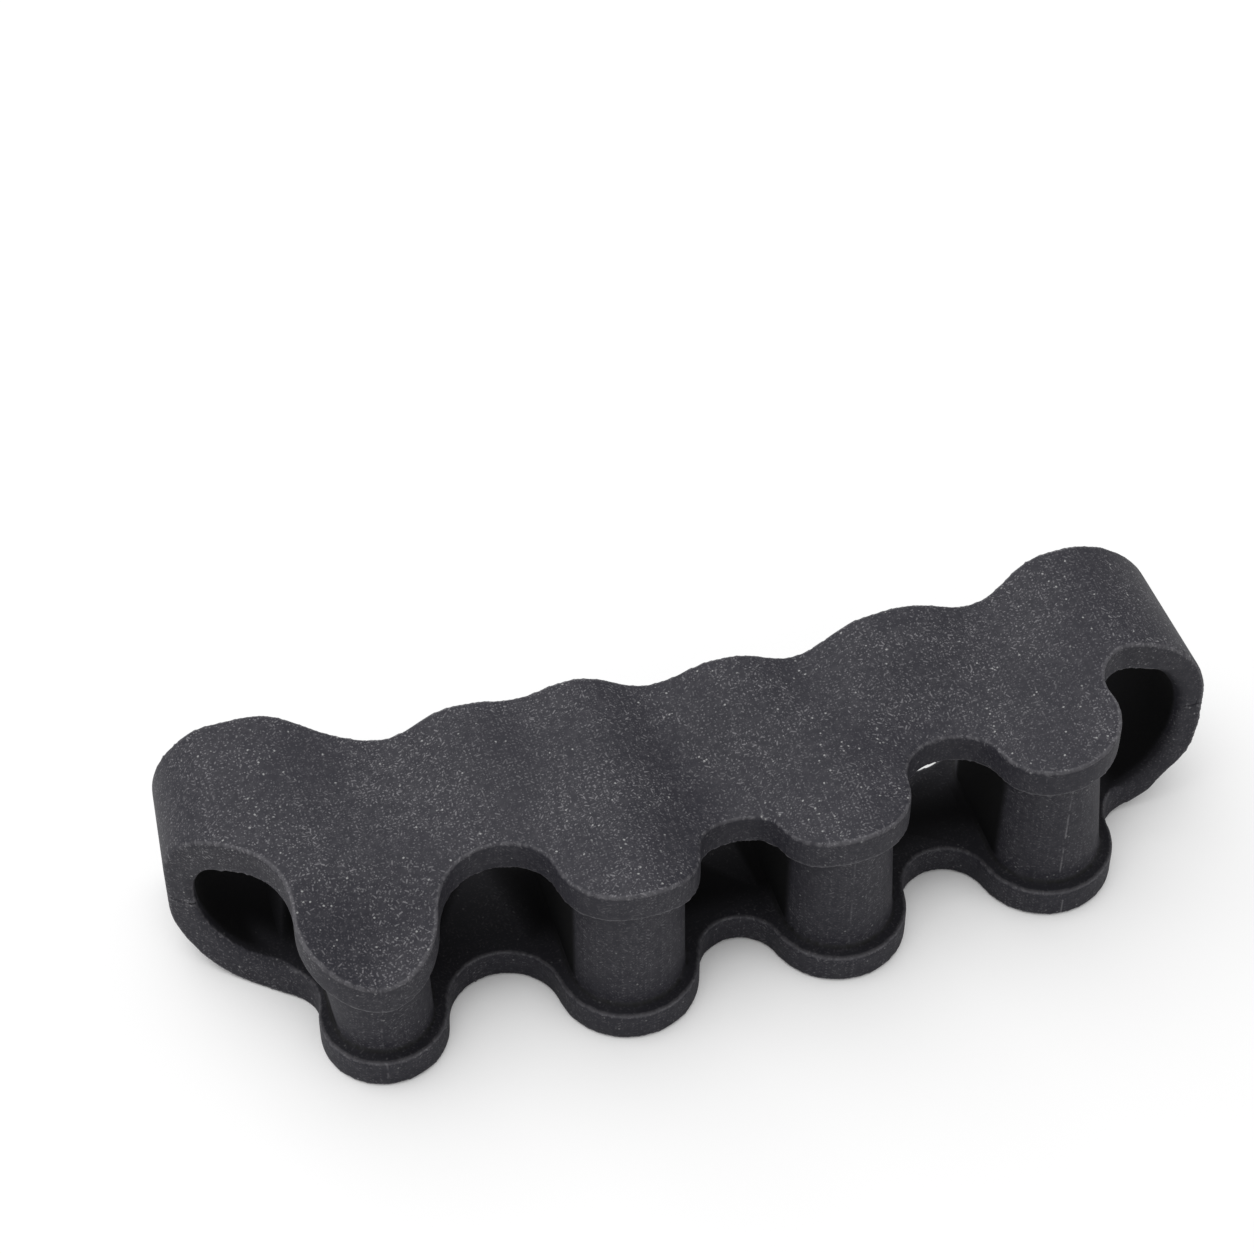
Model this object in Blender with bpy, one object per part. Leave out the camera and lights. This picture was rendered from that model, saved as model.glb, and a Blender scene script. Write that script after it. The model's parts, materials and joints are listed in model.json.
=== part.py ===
"""Toe separator: one moulded elastomer body with five toe openings.

A bottom sheet and a top sheet with lobed edges are joined by four upright pillars. At each end the
top sheet turns down into the bottom sheet, which closes a loop for the little toe (-X) and for the
big toe (+X). The lobes at the pillars' fronts point to -Y, and the flat bottom sheet rests on Z = 0.
Lengths are in millimetres and are scaled to metres when a mesh is made.
"""

import functools
import math

import bmesh
import bpy

MM = 0.001

# Steps along the row: left end to first pillar, pillar to pillar, last pillar to right end
FIRST_PILLAR = 18.1
PILLAR_PITCHES = (25.1, 22.5, 23.4)
LAST_PILLAR = 19.1

# Heights, walls and the back edge of the left end
LEFT_LOOP_HEIGHT = 21.0
RIGHT_LOOP_HEIGHT = 25.3
SHEET = 3.8
END_WALL = 2.9
BACK = 17.6

# Corner radii of the end loops seen from the front: lower and upper
LEFT_OUTER_RADII = (7.4, 8.2)
LEFT_INNER_RADII = (6.8, 5.7)
RIGHT_OUTER_RADII = (11.8, 11.3)
RIGHT_INNER_RADII = (9.0, 8.4)
LEAST_STRAIGHT = 0.2

# How far the back of each end wall stands in from its front
LEFT_SKEW = 1.0
RIGHT_SKEW = 0.8

# Front lobes, one for each pillar
LOBE_FRONTS = (-16.0, -17.6, -16.9, -15.2)
BOTTOM_LOBE_RADII = (6.5, 7.4, 7.3, 7.3)
TOP_LOBE_RADII = (7.0, 7.3, 6.9, 6.4)
TOP_LOBE_SHIFTS = (-0.8, -0.1, -0.4, -0.75)
RECESS_TOPS = (-5.9, -8.5, -6.1)

# Front edges of the end loops, at the floor, on the bottom sheet and on the top sheet
LEFT_EDGE_ENDS = {"floor": 5.3, "sheet": 6.1, "top": 6.4}
LEFT_EDGE_ANGLE = -38.0
LEFT_NECK_RADII = {"floor": 4.0, "sheet": 4.0, "top": 8.5}
RIGHT_EDGE_ENDS = {"floor": -4.0, "sheet": -3.8, "top": -2.7}
RIGHT_NECK_RADIUS = 4.0

# Turning points of the waves as (place, value). A place counts along the row: 0 is the left end,
# 1 to 4 are the pillars and 5 is the right end, so the waves stay in step with the pillars.

# Y of the back edges
TOP_BACK_EDGE = (
    (0.0, BACK), (0.68, BACK), (1.28, 11.7), (1.47, 12.0), (1.64, 11.7), (1.79, 11.2),
    (1.96, 11.4), (2.07, 11.2), (2.36, 9.7), (2.68, 9.5), (2.79, 9.2), (3.03, 8.5),
    (3.37, 9.9), (3.57, 10.0), (3.86, 9.1), (4.26, 12.0), (5.0, 12.0),
)
BOTTOM_BACK_EDGE = (
    (0.0, BACK), (0.44, 17.0), (1.0, 11.3), (1.5, 7.2), (2.0, 10.2), (2.5, 5.6),
    (3.0, 8.8), (3.61, 4.0), (4.0, 8.7), (4.54, 12.0), (5.0, 12.0),
)

# Rise of the top face over the straight line between the two loop heights
FRONT_CREST = (
    (0.0, 0.0), (0.44, 0.0), (1.0, -0.85), (1.47, -0.95), (2.0, 0.55), (2.5, -3.8),
    (3.0, -0.75), (3.5, -2.95), (4.0, -1.2), (4.6, 0.0), (5.0, 0.0),
)
BACK_CREST = (
    (0.0, 0.0), (0.6, -0.15), (1.28, -2.3), (1.47, 0.0), (1.64, 0.05), (1.79, -0.7),
    (1.96, 0.1), (2.07, 0.25), (2.36, -2.05), (2.68, -0.2), (2.79, -0.15), (3.03, -2.1),
    (3.37, -0.1), (3.57, -0.15), (3.86, -1.85), (4.26, 0.0), (5.0, 0.0),
)
CREST_FRONT_Y = -8.0
CREST_BACK_Y = 9.0

# The first lobe's top sheet hangs down towards its tip
DROOP = 4.8
DROOP_START_Y = -2.0
DROOP_LENGTH = 14.0
DROOP_WIDTH = 8.5

# Pillars
LIP = 1.5
BACK_LIP = 1.5
PILLAR_FILLET = 0.5

# Fineness of the faceted surfaces
ARC_STEPS = 9
CORNER_STEPS = 7
EDGE_STATIONS = 54
DEPTH_STATIONS = 15
SIDE_STEPS = 4
FILLET_STEPS = 3
HALVINGS = 40
DEPTH_MARGIN = 2.0
SLAB_MARGIN = 2.0
ROOT_SINK = 0.4
MEET_MARGIN = 0.4
WELD_DISTANCE = 0.01

QUARTER_TURN = math.pi / 2.0

RUBBER_COLOUR = (0.045, 0.045, 0.049, 1.0)
RUBBER_ROUGHNESS = 0.62
CREASE_ANGLE = 35.0


def row_of_places():
    """X of the left end, the four pillars and the right end, with the middle of the row at 0."""
    steps = (FIRST_PILLAR,) + PILLAR_PITCHES + (LAST_PILLAR,)
    places = [-sum(steps) / 2.0]
    for step in steps:
        places.append(places[-1] + step)
    return places


ROW = row_of_places()
LEFT_END = ROW[0]
RIGHT_END = ROW[-1]


def ease(amount):
    """Smooth step from 0 to 1 with level ends."""
    amount = min(max(amount, 0.0), 1.0)
    return amount * amount * (3.0 - 2.0 * amount)


@functools.lru_cache
def wave_slopes(turning_points):
    """Slope of a wave at each turning point: level at its crests, dips and ends."""
    slopes = [0.0]
    for before, here, after in zip(turning_points, turning_points[1:], turning_points[2:]):
        rise = (here[1] - before[1]) / (here[0] - before[0])
        next_rise = (after[1] - here[1]) / (after[0] - here[0])
        turns = rise * next_rise <= 0.0
        slopes.append(0.0 if turns else 2.0 * rise * next_rise / (rise + next_rise))
    return slopes + [0.0]


def wave(x, turning_points):
    """Value of a wave at an X, on a smooth curve that never swings past its turning points."""
    step = 0
    while step < len(ROW) - 2 and x > ROW[step + 1]:
        step += 1
    place = step + (x - ROW[step]) / (ROW[step + 1] - ROW[step])
    place = min(max(place, turning_points[0][0]), turning_points[-1][0])
    index = 0
    while index < len(turning_points) - 2 and place > turning_points[index + 1][0]:
        index += 1
    (start, low), (stop, high) = turning_points[index:index + 2]
    leave, arrive = wave_slopes(turning_points)[index:index + 2]
    share = (place - start) / (stop - start)
    bend = leave * (1.0 - share) - arrive * share
    return low + (high - low) * ease(share) + (stop - start) * bend * share * (1.0 - share)


def fitted(radii, height):
    """Lower and upper corner radius, together no larger than the wall between them allows."""
    share = min(1.0, (height - LEAST_STRAIGHT) / sum(radii))
    return [radius * share for radius in radii]


def straight_top(x):
    """Height of a plain straight top between the upper corners of the two end loops."""
    left_x = LEFT_END + fitted(LEFT_OUTER_RADII, LEFT_LOOP_HEIGHT)[1]
    right_x = RIGHT_END - fitted(RIGHT_OUTER_RADII, RIGHT_LOOP_HEIGHT)[1]
    share = min(max((x - left_x) / (right_x - left_x), 0.0), 1.0)
    return LEFT_LOOP_HEIGHT + (RIGHT_LOOP_HEIGHT - LEFT_LOOP_HEIGHT) * share


def top_rise(x, y):
    """Rise of the top face over the straight top."""
    front = wave(x, FRONT_CREST)
    back = wave(x, BACK_CREST)
    rise = front + (back - front) * ease((y - CREST_FRONT_Y) / (CREST_BACK_Y - CREST_FRONT_Y))
    across = (x - ROW[1]) / DROOP_WIDTH
    along = ease((DROOP_START_Y - y) / DROOP_LENGTH)
    return rise - DROOP * along * math.exp(-across * across)


def top_height(x, y):
    """Height of the top face over a point of the plan."""
    return straight_top(x) + top_rise(x, y)


def lobe_circles(level):
    """Centre and radius of each lobe's round front, on a level of the front edges."""
    on_top = level == "top"
    circles = []
    for index, radius in enumerate(TOP_LOBE_RADII if on_top else BOTTOM_LOBE_RADII):
        shift = TOP_LOBE_SHIFTS[index] if on_top else 0.0
        circles.append((ROW[index + 1] + shift, LOBE_FRONTS[index] + radius, radius))
    return circles


def recess_arc(left, right, top):
    """Centre and radius of the arc between two lobes that touches both and reaches back to top."""
    def radius_to(lobe, x):
        depth = top - (lobe[1] - lobe[2])
        return ((x - lobe[0]) ** 2 / depth + depth) / 2.0 - lobe[2]

    near = left[0]
    far = right[0]
    for _ in range(HALVINGS):
        x = (near + far) / 2.0
        if radius_to(left, x) > radius_to(right, x):
            far = x
        else:
            near = x
    radius = radius_to(left, x)
    return x, top - radius, radius


def neck_centre(lobe, anchor, angle, radius, side):
    """Centre of the arc that touches a lobe and the straight front edge of a loop."""
    direction = (math.cos(angle), math.sin(angle))
    start = (anchor[0] + direction[1] * radius, anchor[1] - direction[0] * radius)
    to_start = (start[0] - lobe[0], start[1] - lobe[1])
    half = to_start[0] * direction[0] + to_start[1] * direction[1]
    rest = to_start[0] ** 2 + to_start[1] ** 2 - (lobe[2] + radius) ** 2
    step = -half + side * math.sqrt(max(half * half - rest, 0.0))
    return start[0] + direction[0] * step, start[1] + direction[1] * step


def arc(centre, radius, start, stop, turn):
    """Points of an arc from the direction of one point to that of another."""
    first = math.atan2(start[1] - centre[1], start[0] - centre[0])
    last = math.atan2(stop[1] - centre[1], stop[0] - centre[0])
    sweep = (last - first) * turn
    sweep = turn * (sweep % (2.0 * math.pi))
    angles = [first + sweep * step / ARC_STEPS for step in range(ARC_STEPS + 1)]
    return [(centre[0] + radius * math.cos(a), centre[1] + radius * math.sin(a)) for a in angles]


def front_edge(level):
    """Front edge from the left end to the right end, on one of its three levels."""
    lobes = lobe_circles(level)
    left_end = (LEFT_END, LEFT_EDGE_ENDS[level])
    left_corner = (LEFT_END - SLAB_MARGIN, LEFT_EDGE_ENDS[level])
    right_corner = (RIGHT_END + SLAB_MARGIN, RIGHT_EDGE_ENDS[level])
    left_angle = math.radians(LEFT_EDGE_ANGLE)
    left_radius = LEFT_NECK_RADII[level]
    left_neck = neck_centre(lobes[0], left_end, left_angle, left_radius, -1)
    right_neck = neck_centre(lobes[-1], right_corner, 0.0, RIGHT_NECK_RADIUS, 1)
    left_foot = (
        left_neck[0] - math.sin(left_angle) * left_radius,
        left_neck[1] + math.cos(left_angle) * left_radius,
    )
    right_foot = (right_neck[0], right_neck[1] + RIGHT_NECK_RADIUS)
    recesses = [recess_arc(lobes[i], lobes[i + 1], top) for i, top in enumerate(RECESS_TOPS)]
    points = [left_corner, left_end]
    points += arc(left_neck, left_radius, left_foot, lobes[0], -1)
    neighbours = [left_neck] + recesses + [right_neck]
    for index, lobe in enumerate(lobes):
        points += arc(lobe, lobe[2], neighbours[index], neighbours[index + 1], 1)[1:-1]
        if index < len(recesses):
            points += arc(recesses[index], recesses[index][2], lobe, lobes[index + 1], -1)
    points += arc(right_neck, RIGHT_NECK_RADIUS, lobes[-1], right_foot, -1)
    return points + [right_corner]


def back_edge(turning_points):
    """Back edge from the right end to the left end."""
    points = [(RIGHT_END + SLAB_MARGIN, wave(RIGHT_END, turning_points))]
    for station in range(EDGE_STATIONS, -1, -1):
        x = LEFT_END + (RIGHT_END - LEFT_END) * station / EDGE_STATIONS
        points.append((x, wave(x, turning_points)))
    points.append((LEFT_END - SLAB_MARGIN, wave(LEFT_END, turning_points)))
    return points


def mesh_object(name, vertices, faces):
    """Mesh object in metres from points in millimetres, with its faces turned outwards."""
    mesh = bpy.data.meshes.new(name)
    mesh.from_pydata([(x * MM, y * MM, z * MM) for x, y, z in vertices], [], faces)
    shell = bmesh.new()
    shell.from_mesh(mesh)
    bmesh.ops.triangulate(shell, faces=shell.faces)
    bmesh.ops.recalc_face_normals(shell, faces=shell.faces)
    shell.to_mesh(mesh)
    shell.free()
    obj = bpy.data.objects.new(name, mesh)
    bpy.context.scene.collection.objects.link(obj)
    return obj


def plain_cap(count):
    """One flat face over a ring."""
    return [tuple(range(count))]


def strip_cap(count):
    """Strips across a ring that starts at its foremost point and is alike on both sides."""
    faces = [(0, 1, count - 1)]
    for i in range(1, count // 2 - 1):
        faces.append((i, i + 1, count - i - 1, count - i))
    faces.append((count // 2 - 1, count // 2, count // 2 + 1))
    return faces


def stacked_rings(name, rings, cap):
    """Closed body through rings of equally many points, from the lowest to the highest."""
    count = len(rings[0])
    vertices = [point for ring in rings for point in ring]
    faces = [tuple(reversed(face)) for face in cap(count)]
    for level in range(len(rings) - 1):
        base = level * count
        for i in range(count):
            j = (i + 1) % count
            faces.append((base + i, base + j, base + count + j, base + count + i))
    top = (len(rings) - 1) * count
    faces += [tuple(top + i for i in face) for face in cap(count)]
    return mesh_object(name, vertices, faces)


def quarter(centre_x, centre_z, radius, start):
    """Quarter circle in the XZ plane, anticlockwise from a start counted in quarter turns."""
    angles = [(start + step / CORNER_STEPS) * QUARTER_TURN for step in range(CORNER_STEPS + 1)]
    return [(centre_x + radius * math.cos(a), centre_z + radius * math.sin(a)) for a in angles]


def loop_section(left_radii, right_radii, wall, sheet):
    """Outline of the loop seen from the front, set in by a wall and a sheet thickness.

    Each entry is (x, z, lift), and lift says how far the point follows the waves of the top.
    """
    left_low, left_high = fitted(left_radii, LEFT_LOOP_HEIGHT - 2.0 * sheet)
    right_low, right_high = fitted(right_radii, RIGHT_LOOP_HEIGHT - 2.0 * sheet)
    left = LEFT_END + wall
    right = RIGHT_END - wall
    left_top = LEFT_LOOP_HEIGHT - sheet
    right_top = RIGHT_LOOP_HEIGHT - sheet
    section = [(x, z, 0.0) for x, z in quarter(right - right_low, sheet + right_low, right_low, -1)]
    for step, (x, z) in enumerate(quarter(right - right_high, right_top - right_high, right_high, 0)):
        section.append((x, z, ease(step / CORNER_STEPS)))
    section += top_run(right - right_high, left + left_high, sheet)
    for step, (x, z) in enumerate(quarter(left + left_high, left_top - left_high, left_high, 1)):
        section.append((x, z, ease(1.0 - step / CORNER_STEPS)))
    section += [(x, z, 0.0) for x, z in quarter(left + left_low, sheet + left_low, left_low, 2)]
    return section


def top_run(right_x, left_x, sheet):
    """Points of the top between the upper corners, from right to left."""
    points = []
    for station in range(1, EDGE_STATIONS):
        x = right_x + (left_x - right_x) * station / EDGE_STATIONS
        points.append((x, straight_top(x) - sheet, 1.0))
    return points


def end_skew(x, y):
    """Sideways shift that sets the end walls inwards towards their back edges."""
    left_front = LEFT_EDGE_ENDS["top"]
    right_front = RIGHT_EDGE_ENDS["top"]
    left = (LEFT_END + LEFT_OUTER_RADII[1] - x) / (LEFT_OUTER_RADII[1] - END_WALL)
    right = (x - RIGHT_END + RIGHT_OUTER_RADII[1]) / (RIGHT_OUTER_RADII[1] - END_WALL)
    left_depth = (y - left_front) / (BACK - left_front)
    right_depth = (y - right_front) / (BACK - right_front)
    inwards_left = LEFT_SKEW * left_depth * min(max(left, 0.0), 1.0)
    inwards_right = RIGHT_SKEW * right_depth * min(max(right, 0.0), 1.0)
    return inwards_left - inwards_right


def loop_band():
    """The two sheets and the end walls as one deep band, before its edges are cut to shape."""
    outer = loop_section(LEFT_OUTER_RADII, RIGHT_OUTER_RADII, 0.0, 0.0)
    inner = loop_section(LEFT_INNER_RADII, RIGHT_INNER_RADII, END_WALL, SHEET)
    front = min(LOBE_FRONTS) - DEPTH_MARGIN
    back = BACK + DEPTH_MARGIN
    count = len(outer)
    vertices = []
    for station in range(DEPTH_STATIONS + 1):
        y = front + (back - front) * station / DEPTH_STATIONS
        for section in (outer, inner):
            for x, z, lift in section:
                vertices.append((x + end_skew(x, y), y, z + lift * top_rise(x, y)))
    faces = []
    last = DEPTH_STATIONS * 2 * count
    for i in range(count):
        j = (i + 1) % count
        for station in range(DEPTH_STATIONS):
            base = station * 2 * count
            step = base + 2 * count
            faces.append((base + i, base + j, step + j, step + i))
            faces.append((base + count + j, base + count + i, step + count + i, step + count + j))
        faces.append((j, i, count + i, count + j))
        faces.append((last + i, last + j, last + count + j, last + count + i))
    return mesh_object("toe_separator", vertices, faces)


def edge_slab():
    """Cutter whose upright walls give the sheets their lobed edges."""
    floor = front_edge("floor") + back_edge(BOTTOM_BACK_EDGE)
    lower = front_edge("sheet") + back_edge(BOTTOM_BACK_EDGE)
    upper = front_edge("top") + back_edge(TOP_BACK_EDGE)
    heights = [top_height(x, y) for x, y in upper]
    lower_top = SHEET + MEET_MARGIN
    upper_bottom = min(heights) - SHEET - MEET_MARGIN
    ceiling = max(heights) + SLAB_MARGIN
    rings = (
        [(x, y, -SLAB_MARGIN) for x, y in floor],
        [(x, y, 0.0) for x, y in floor],
        [(x, y, lower_top) for x, y in lower],
        [(x, y, upper_bottom) for x, y in upper],
        [(x, y, ceiling) for x, y in upper],
    )
    return stacked_rings("edge_slab", rings, plain_cap)


def pillar_outline(lobe, back, grow):
    """Plan of a pillar from its foremost point: round at both ends, grown by a distance."""
    radius = lobe[2] - LIP + grow
    back_y = back - BACK_LIP - (lobe[2] - LIP)
    half = []
    for step in range(ARC_STEPS + 1):
        angle = QUARTER_TURN * step / ARC_STEPS
        half.append((radius * math.sin(angle), lobe[1] - radius * math.cos(angle)))
    for step in range(1, SIDE_STEPS):
        half.append((radius, lobe[1] + (back_y - lobe[1]) * step / SIDE_STEPS))
    for step in range(ARC_STEPS + 1):
        angle = QUARTER_TURN * step / ARC_STEPS
        half.append((radius * math.cos(angle), back_y + radius * math.sin(angle)))
    half[0] = (0.0, half[0][1])
    half[-1] = (0.0, half[-1][1])
    mirrored = [(-x, y) for x, y in reversed(half[1:-1])]
    return [(lobe[0] + x, y) for x, y in half + mirrored]


def pillar(index, foot, head):
    """One pillar with flared roots, sunk half way into both sheets."""
    back = wave(foot[0], BOTTOM_BACK_EDGE)
    flare = [(PILLAR_FILLET, SHEET / 2), (PILLAR_FILLET, SHEET - ROOT_SINK)]
    for step in range(1, FILLET_STEPS + 1):
        angle = QUARTER_TURN * step / FILLET_STEPS
        grow = PILLAR_FILLET * (1.0 - math.sin(angle))
        flare.append((grow, SHEET + PILLAR_FILLET * (1.0 - math.cos(angle))))
    rings = []
    for grow, inset in flare:
        rings.append([(x, y, inset) for x, y in pillar_outline(foot, back, grow)])
    for grow, inset in reversed(flare):
        outline = pillar_outline(head, back, grow)
        rings.append([(x, y, top_height(x, y) - inset) for x, y in outline])
    return stacked_rings("pillar_%d" % (index + 1), rings, strip_cap)


def combine(body, name, tools, operation):
    """One Boolean modifier on the body for a group of tools, which are kept as hidden guides."""
    group = bpy.data.collections.new(name)
    for tool in tools:
        group.objects.link(tool)
        tool.hide_render = True
        tool.display_type = "WIRE"
    modifier = body.modifiers.new(name, "BOOLEAN")
    modifier.operation = operation
    modifier.solver = "EXACT"
    modifier.operand_type = "COLLECTION"
    modifier.collection = group


def rubber():
    """Matte charcoal elastomer."""
    material = bpy.data.materials.new("charcoal_rubber")
    material.use_nodes = True
    shader = material.node_tree.nodes["Principled BSDF"]
    shader.inputs["Base Color"].default_value = RUBBER_COLOUR
    shader.inputs["Roughness"].default_value = RUBBER_ROUGHNESS
    shader.inputs["Metallic"].default_value = 0.0
    material.diffuse_color = RUBBER_COLOUR
    return material


def main():
    for obj in list(bpy.data.objects):
        bpy.data.objects.remove(obj)
    body = loop_band()
    combine(body, "cut_edges", [edge_slab()], "INTERSECT")
    lobes = zip(lobe_circles("sheet"), lobe_circles("top"))
    pillars = [pillar(index, foot, head) for index, (foot, head) in enumerate(lobes)]
    combine(body, "add_pillars", pillars, "UNION")
    weld = body.modifiers.new("weld", "WELD")
    weld.merge_threshold = WELD_DISTANCE * MM
    body.data.materials.append(rubber())
    body.data.shade_smooth()
    body.data.set_sharp_from_angle(angle=math.radians(CREASE_ANGLE))


main()
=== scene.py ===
# %% [markdown]
# A toe separator is one soft moulding: two lobed sheets, four pillars between them and a closed loop
# at each end. The engineering model gives its size and place. This lesson models the same form again
# with soft rims and fine curves, gives it a speckled charcoal rubber, and lights it as in a studio.

# %% Load the frame
import bisect
import functools
import json
import math

import bmesh
import bpy
import mathutils.kdtree
import numpy as np
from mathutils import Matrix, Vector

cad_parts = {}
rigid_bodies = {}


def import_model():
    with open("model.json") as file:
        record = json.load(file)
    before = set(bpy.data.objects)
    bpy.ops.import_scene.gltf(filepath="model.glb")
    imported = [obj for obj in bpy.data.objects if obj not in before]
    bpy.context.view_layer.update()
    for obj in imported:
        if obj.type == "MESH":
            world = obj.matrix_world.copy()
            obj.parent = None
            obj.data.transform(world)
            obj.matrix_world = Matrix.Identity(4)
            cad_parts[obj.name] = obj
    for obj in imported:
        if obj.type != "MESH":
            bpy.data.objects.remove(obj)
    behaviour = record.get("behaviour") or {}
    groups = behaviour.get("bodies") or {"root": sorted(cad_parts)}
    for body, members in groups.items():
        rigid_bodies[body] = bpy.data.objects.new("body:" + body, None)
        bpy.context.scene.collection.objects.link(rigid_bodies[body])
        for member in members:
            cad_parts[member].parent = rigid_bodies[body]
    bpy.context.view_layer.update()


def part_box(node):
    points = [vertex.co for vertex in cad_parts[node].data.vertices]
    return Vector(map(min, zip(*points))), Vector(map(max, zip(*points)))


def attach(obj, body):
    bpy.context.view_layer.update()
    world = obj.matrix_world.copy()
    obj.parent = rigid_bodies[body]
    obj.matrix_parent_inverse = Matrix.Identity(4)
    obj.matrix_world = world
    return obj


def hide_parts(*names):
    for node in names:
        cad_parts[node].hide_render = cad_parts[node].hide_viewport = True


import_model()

MM = 0.001
PIECE = "toe_separator"
low_corner, high_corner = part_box(PIECE)

# %% [markdown]
# The camera looks down at the front of the separator from its little-toe side. A long lens keeps the
# far loop almost as large as the near one. The place was found by matching the outlines of the
# sheets and lobes, and it is written as a position, a heading and a downward tilt.

# %% Camera
CAMERA_PLACE = (-0.06870, -0.20229, 0.27203)
CAMERA_HEADING = 16.7504
CAMERA_TILT = 47.5
SENSOR_WIDTH = 36.0
PICTURE_WIDTH = 1254
FOCAL_PIXELS = 3300.0

camera_data = bpy.data.cameras.new("studio_camera")
camera_data.sensor_width = SENSOR_WIDTH
camera_data.lens = FOCAL_PIXELS * SENSOR_WIDTH / PICTURE_WIDTH
camera = bpy.data.objects.new("studio_camera", camera_data)
bpy.context.scene.collection.objects.link(camera)
camera.location = CAMERA_PLACE
camera.rotation_euler = (math.radians(90.0 - CAMERA_TILT), 0.0, -math.radians(CAMERA_HEADING))
bpy.context.scene.camera = camera
print("lens in mm:", round(camera_data.lens, 2))

# %% [markdown]
# Node materials are easier to read as sums than as wires. This small class wraps one socket, so an
# expression such as `0.1 + mask * 0.5` adds the Math nodes by itself. Every other node comes from one
# method that takes the node's type, its settings and its inputs.

# %% Shader arithmetic
class Value:
    """One output socket, with arithmetic that adds Math nodes to its material."""

    def __init__(self, maker, socket):
        self.maker = maker
        self.socket = socket

    def other(self, output):
        """Another output of the same node."""
        return Value(self.maker, self.socket.node.outputs[output])

    def math(self, operation, *others):
        return self.maker.add("ShaderNodeMath", {"operation": operation}, dict(enumerate((self, *others))))

    def vector(self, operation, *others, output="Vector"):
        """Vector arithmetic; output is Value for a length or a dot product."""
        inputs = dict(enumerate((self, *others)))
        return self.maker.add("ShaderNodeVectorMath", {"operation": operation}, inputs, output)

    def __add__(self, other):
        return self.math("ADD", other)

    def __radd__(self, other):
        return self.math("ADD", other)

    def __sub__(self, other):
        return self.math("SUBTRACT", other)

    def __mul__(self, other):
        return self.math("MULTIPLY", other)

    def rise(self, start, stop):
        """0 below start and 1 above stop, with an eased step between; start may be the larger."""
        settings = {"interpolation_type": "SMOOTHSTEP"}
        inputs = {"Value": self, "From Min": start, "From Max": stop}
        return self.maker.add("ShaderNodeMapRange", settings, inputs)


class Finish:
    """A new material whose nodes are added by type, settings and inputs."""

    def __init__(self, name):
        self.material = bpy.data.materials.new(name)
        self.material.use_nodes = True
        self.tree = self.material.node_tree
        self.tree.nodes.clear()

    def add(self, kind, settings=None, inputs=None, output=0):
        """Adds one node and returns the named or numbered output."""
        node = self.tree.nodes.new(kind)
        for name, setting in (settings or {}).items():
            setattr(node, name, setting)
        for name, value in (inputs or {}).items():
            if isinstance(value, Value):
                self.tree.links.new(value.socket, node.inputs[name])
            else:
                node.inputs[name].default_value = value
        return Value(self, node.outputs[output]) if node.outputs else None

    def surface(self, shader):
        self.add("ShaderNodeOutputMaterial", inputs={"Surface": shader})
        return self.material

# %% [markdown]
# The separator lies on a white table top that runs on out of the picture. One large plane is enough,
# because no horizon is in view. Its own colour is a light grey-white, and only what the camera sees
# directly is lifted towards white, so the plane doesn't throw more light on the rubber. The lift
# fades close to the moulding, so that the dark line where it touches the table stays.

# %% White table top
FLOOR_SIZE = 6.0
FLOOR_GAP = 0.00002
FLOOR_WHITE = (0.92, 0.92, 0.92, 1.0)
FLOOR_LIFT = 0.58
CONTACT_REACH = 0.012

bpy.ops.object.select_all(action="DESELECT")
bpy.ops.mesh.primitive_plane_add(size=FLOOR_SIZE, location=(0.0, 0.0, -FLOOR_GAP))
floor = bpy.context.object
floor.name = "table_top"

white = Finish("white_table_top")
matte = white.add("ShaderNodeBsdfDiffuse", inputs={"Color": FLOOR_WHITE})
seen = white.add("ShaderNodeLightPath", output="Is Camera Ray")
glow = white.add("ShaderNodeEmission", inputs={"Color": (1.0, 1.0, 1.0, 1.0), "Strength": 1.0})
nearby = white.add("ShaderNodeAmbientOcclusion", {"samples": 4}, {"Distance": CONTACT_REACH}, "AO")
lift = seen * FLOOR_LIFT * nearby.rise(0.15, 0.95)
both = white.add("ShaderNodeMixShader", inputs={0: lift, 1: matte, 2: glow})
floor.data.materials.append(white.surface(both))
print("table top:", FLOOR_SIZE, "m wide")

# %% [markdown]
# The light in the studio is one very large soft box overhead, towards the back and the left, and the
# pale room around. The soft box gives the top sheet its even grey and leaves the toe openings dark.

# %% Soft light
SOFT_BOX_SIZE = 0.9
SOFT_BOX_PLACE = (-0.22, 0.30, 0.75)
SOFT_BOX_WATTS = 5.7
ROOM_STRENGTH = 0.64

bpy.ops.object.light_add(type="AREA", location=SOFT_BOX_PLACE)
soft_box = bpy.context.object
soft_box.name = "soft_box"
soft_box.data.shape = "SQUARE"
soft_box.data.size = SOFT_BOX_SIZE
soft_box.data.energy = SOFT_BOX_WATTS
distance = math.hypot(*SOFT_BOX_PLACE)
tilt = math.acos(SOFT_BOX_PLACE[2] / distance)
turn = math.atan2(SOFT_BOX_PLACE[0], -SOFT_BOX_PLACE[1])
soft_box.rotation_euler = (tilt, 0.0, turn)

world = bpy.data.worlds.new("pale_room")
world.use_nodes = True
background = world.node_tree.nodes["Background"]
background.inputs["Color"].default_value = (1.0, 1.0, 1.0, 1.0)
background.inputs["Strength"].default_value = ROOM_STRENGTH
bpy.context.scene.world = world
bpy.context.scene.view_settings.view_transform = "Standard"
print("soft box leans", round(math.degrees(tilt)), "degrees off straight down")

# %% [markdown]
# The sizes are the mould maker's. The body's length, back edge and big-toe height come from the loaded
# model, and the steps between the pillars, the thicknesses and the corner radii are written here in
# millimetres. The piece is modelled in millimetres and scaled to metres when it is finished.

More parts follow.
